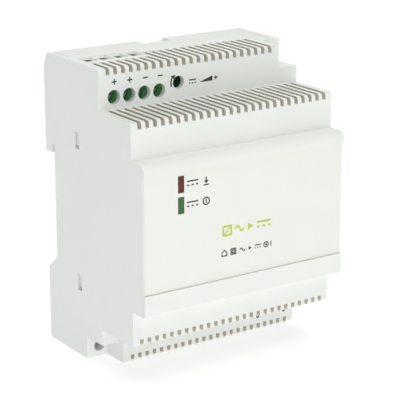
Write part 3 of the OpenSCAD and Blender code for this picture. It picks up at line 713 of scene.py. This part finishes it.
def add_label_marks():
    """Captions of the lamps, a row of general signs and the lime conversion sign, on the film."""
    film_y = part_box("label_plate")[0].y / MM
    dark = Print(film_y, 0.42)
    # Direct current low, with an arrow down to a line, and direct current on
    low_z, on_z, sign_x = 15.15, 8.95, -14.2
    for z in (low_z, on_z):
        dark.direct_mark(-18.9, z, 1.9, 0.75)
    dark.line([(sign_x, 16.15), (sign_x, 15.1)])
    dark.shape([(sign_x - 0.8, 15.1), (sign_x, 14.1), (sign_x + 0.8, 15.1)])
    dark.bar(sign_x - 0.9, 13.62, sign_x + 0.9, 13.98)
    dark.ring(sign_x, on_z, 1.05)
    dark.line([(sign_x, on_z - 0.55), (sign_x, on_z + 0.55)])
    # A row of general signs
    dark.weight = 0.34
    z = -8.0
    dark.house(-7.8, z, 0.85)
    dark.squares(-4.6, z, 0.85)
    dark.wave_mark(-1.3, z, 1.0, 0.5)
    dark.shape([(0.9, z - 0.6), (2.0, z), (0.9, z + 0.6)])
    dark.direct_mark(4.2, z - 0.02, 1.1, 0.5)
    dark.ring(7.2, z, 0.8)
    dark.plus(7.2, z, 0.42)
    dark.line([(9.0, z - 0.75), (9.0, z + 0.75)])
    dark.make("label_marks", "label_film", "housing", "ink_dark", flat=True)
    lime = Print(film_y, 0.62)
    # Alternating to direct current, in colour
    z = -1.3
    lime.line([(-8.2, z - 1.35), (-5.4, z - 1.35), (-5.4, z + 1.35), (-8.2, z + 1.35)], closed=True)
    lime.thickness = INK - 0.002       # the stroke lies under the square it crosses
    lime.line([(-7.9, z - 1.1), (-5.7, z + 1.1)], 0.45)
    lime.thickness = INK
    lime.wave_mark(-2.4, z, 1.6, 0.85)
    lime.shape([(0.5, z - 1.15), (2.6, z), (0.5, z + 1.15)])
    lime.weight = 0.68
    lime.direct_mark(6.3, z, 2.5, 0.7)
    lime.make("converter_mark", "label_film", "housing", "ink_lime", flat=True)


# ---------- parts inside ----------

BOARD_Y = -7.6                         # front of the circuit board, in mm


def add_choke_windings():
    """Two halves of enamelled wire wound around the ring core, with leads to the board."""
    x, z, mid, base = -13.5, -27.0, 7.0, BOARD_Y - 1.2
    turns, steps, wire, span, squareness = 11, 14, 0.42, 124.0, 1.35
    coil = Solid()
    for start in (28.0, 208.0):
        path = []
        for i in range(turns * steps + 1):
            around = math.radians(start + span * i / (turns * steps))
            turn = 2 * math.pi * i / steps
            # A squared loop just outside the core's 4 x 6 mm section
            across = max(-1.0, min(1.0, squareness * math.cos(turn))) * 2.62
            height = max(-1.0, min(1.0, squareness * math.sin(turn))) * 3.66
            radius = mid + across
            path.append((x + radius * math.cos(around), base - 4.2 - height, z + radius * math.sin(around)))
        for end in (0, -1):
            point = path[end]
            lead = [point, (point[0], BOARD_Y - 0.9, point[2]), (point[0], BOARD_Y, point[2])]
            path = lead[:0:-1] + path if end == 0 else path + lead[1:]
        coil.tube(path, wire)
    coil.make("choke_wire", "copper_enamel", "housing", replaces=("choke_windings",))


def add_can(name, node, x, z, radius, height):
    """Electrolytic can: sleeve rolled over an aluminium top with a vent score in painted shade, crimped
    near its foot.
    """
    foot, top = BOARD_Y, BOARD_Y - height
    lip = radius * 0.84
    foot_round = [(0, foot), (radius * 0.9, foot), (radius - 0.08, foot - 0.4), (radius, foot - 0.9)]
    crimp = [(radius, foot - 1.6), (radius - 0.35, foot - 1.95), (radius - 0.5, foot - 2.3),
             (radius - 0.35, foot - 2.65), (radius, foot - 3.0)]
    top_round = [(radius, top + 0.6), (radius - 0.18, top + 0.18), (radius - 0.55, top)]
    roll = [(lip, top), (lip, top + 0.5), (0, top + 0.5)]
    wrap = Solid()
    wrap.lathe(foot_round + crimp + top_round + roll, x, z)
    wrap.make(name + "_sleeve", "capacitor_sleeve", "housing", replaces=(node,))
    disc = lip - 0.02
    metal = Solid()
    metal.lathe([(0, top + 0.55), (disc, top + 0.55), (disc, top + 0.22), (lip - 0.2, top + 0.12),
                 (0, top + 0.12)], x, z)
    metal.make(name + "_top", "aluminium", "housing")
    # The vent score is a thin black strip laid on the top: painted shade where a stamped groove would be
    score_shade = Solid()
    for angle in (0.0, 90.0):
        ends = [polar(x, z, lip * 0.7, angle + 180.0), polar(x, z, lip * 0.7, angle)]
        score_shade.ribbon(ends, 0.28, top + 0.12, 0.03)
    score_shade.make(name + "_score", "black_plastic", "housing", flat=True)
    stripe = Solid()
    under, over = radius - 0.05, radius + 0.02
    for angle in range(200, 260, 12):
        corners = [polar(x, z, under, angle), polar(x, z, over, angle),
                   polar(x, z, over, angle + 12), polar(x, z, under, angle + 12)]
        stripe.add([(px, y, pz) for y in (foot - 3.4, top + 0.9) for px, pz in corners], BOX_FACES)
    stripe.make(name + "_stripe", "aluminium", "housing", "label_film")


def add_inductor():
    """Drum core with its winding in the waist."""
    x, z, r, waist, base = 4.0, 25.0, 4.8, 2.6, BOARD_Y
    drum = Solid()
    drum.lathe([(0, base), (r - 0.2, base), (r, base - 0.2), (r, base - 1.4), (r - 0.2, base - 1.6),
                (waist, base - 1.8), (waist, base - 10.2),
                (r - 0.2, base - 10.4), (r, base - 10.6), (r, base - 11.8), (r - 0.2, base - 12),
                (0, base - 12)], x, z)
    drum.make("inductor_drum", "ferrite", "housing", replaces=("output_inductor",))
    coil = Solid()
    steps, turns, wire, coil_r, first, rise = 24, 9, 0.42, 3.6, 2.3, 7.4
    path = []
    for i in range(steps * turns + 1):
        turn = 2 * math.pi * i / steps
        height = first + rise * i / (steps * turns)
        path.append((x + coil_r * math.cos(turn), base - height, z + coil_r * math.sin(turn)))
    coil.tube(path, wire)
    coil.make("inductor_wire", "copper_enamel", "housing")


def add_transformer_tape():
    """Rounded body of the winding, with its tape's last turn lapped over and its wire ends."""
    rounded_copy("transformer_winding", "winding_tape", 0.9, 4)
    low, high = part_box("transformer_winding")
    top_y, foot_y, side_z = low.y / MM, high.y / MM, high.z / MM
    margin, half, tape_t = 1.2, 6.8, 0.08
    lap = Solid()
    for sign in (-1, 1):
        z = sign * side_z
        outer = z + sign * tape_t
        corners = [(-half, z), (half, z), (half, outer), (-half, outer)]
        ends = (top_y + margin, foot_y - margin)
        lap.add([(px, y, pz) for y in ends for px, pz in corners], BOX_FACES)
    lap.make("transformer_tape_end", "winding_tape", "housing", flat=True)
    wires = Solid()
    for sign in (-1, 1):
        for x in (-6.0, -2.0, 2.0, 6.0):
            wires.tube([(x, foot_y + 0.9, sign * 10.0), (x, foot_y + 1.6, sign * 10.9),
                        (x, BOARD_Y - 0.6, sign * 11.1)], 0.22, 6)
    wires.make("transformer_wire_ends", "copper_enamel", "housing")


def add_inside():
    add_choke_windings()
    add_can("bulk", "bulk_capacitor", 22.5, -12.5, 9.0, 31.0)
    add_can("output_1", "output_capacitor_1", 18.4, 20.2, 5.0, 20.0)
    add_can("output_2", "output_capacitor_2", 18.4, 9.4, 5.0, 20.0)
    add_inductor()
    add_transformer_tape()


# ---------- assembly ----------

# CAD node: slot, edge radius in mm, bevel segments
ROUNDED = {
    "front_cover": ("housing_light", 0.25, 3),
    "rear_base": ("housing_grey", 0.25, 3),
    "label_plate": ("label_film", 0.06, 2),
    "rail_latch": ("latch_grey", 0.2, 3),
    "main_board": ("circuit_board", 0.06, 1),
    "board_screws": ("steel", 0.12, 2),
    "output_terminal_body": ("terminal_green", 0.12, 2),
    "input_terminal_body": ("terminal_green", 0.12, 2),
    "output_contacts": ("tinned_brass", 0.08, 2),
    "input_contacts": ("tinned_brass", 0.08, 2),
    "trimmer_body": ("trimmer_blue", 0.15, 2),
    "trimmer_rotor": ("black_plastic", 0.1, 2),
    "lamp_board": ("circuit_board", 0.06, 1),
    "lamp_board_header": ("black_plastic", 0.15, 2),
    "red_lamp": ("lamp_red", 0.12, 3),
    "green_lamp": ("lamp_green", 0.12, 3),
    "transformer_core": ("ferrite", 0.25, 2),
    "transformer_bobbin": ("black_plastic", 0.15, 2),
    "suppression_capacitor": ("yellow_film", 0.5, 3),
    "y_capacitor": ("disc_blue", 0.9, 4),
    "varistor": ("disc_blue", 1.1, 4),
    "choke_core": ("ferrite", 0.35, 2),
    "fuse": ("fuse_brown", 0.3, 2),
    "bridge_rectifier": ("black_plastic", 0.2, 2),
    "primary_heatsink": ("aluminium", 0.12, 2),
    "secondary_heatsink": ("aluminium", 0.12, 2),
    "primary_transistor": ("black_plastic", 0.15, 2),
    "output_diode": ("black_plastic", 0.15, 2),
    "device_pads": ("insulating_pad", 0.05, 1),
    "device_screws": ("steel", 0.15, 2),
    "optocoupler": ("black_plastic", 0.1, 2),
    "control_chip": ("black_plastic", 0.1, 2),
}
for side, poles in (("output", 4), ("input", 2)):
    for number in range(1, poles + 1):
        ROUNDED[f"{side}_screw_{number}"] = ("steel", 0.12, 2)
        ROUNDED[f"{side}_clamp_{number}"] = ("tinned_brass", 0.1, 2)

materials = make_materials()
add_camera()
add_light()
add_floor()

shown = {node: rounded_copy(node, *how) for node, how in ROUNDED.items()}
paint_slot_wall_shade(shown["front_cover"])
add_inside()

# The spring is 11.2 mm long at rest and the latch travels 4 mm; here it is a clean, smooth-shaded copy of
# its CAD mesh
spring = link_mesh("latch_spring_shown", clean_mesh("latch_spring"))
spring.data.set_sharp_from_angle(angle=math.radians(60))
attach(spring, nodes["latch_spring"]["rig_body"])
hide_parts("latch_spring")
dress(spring, "steel")
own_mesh(spring)

add_terminal_marks()
add_label_marks()
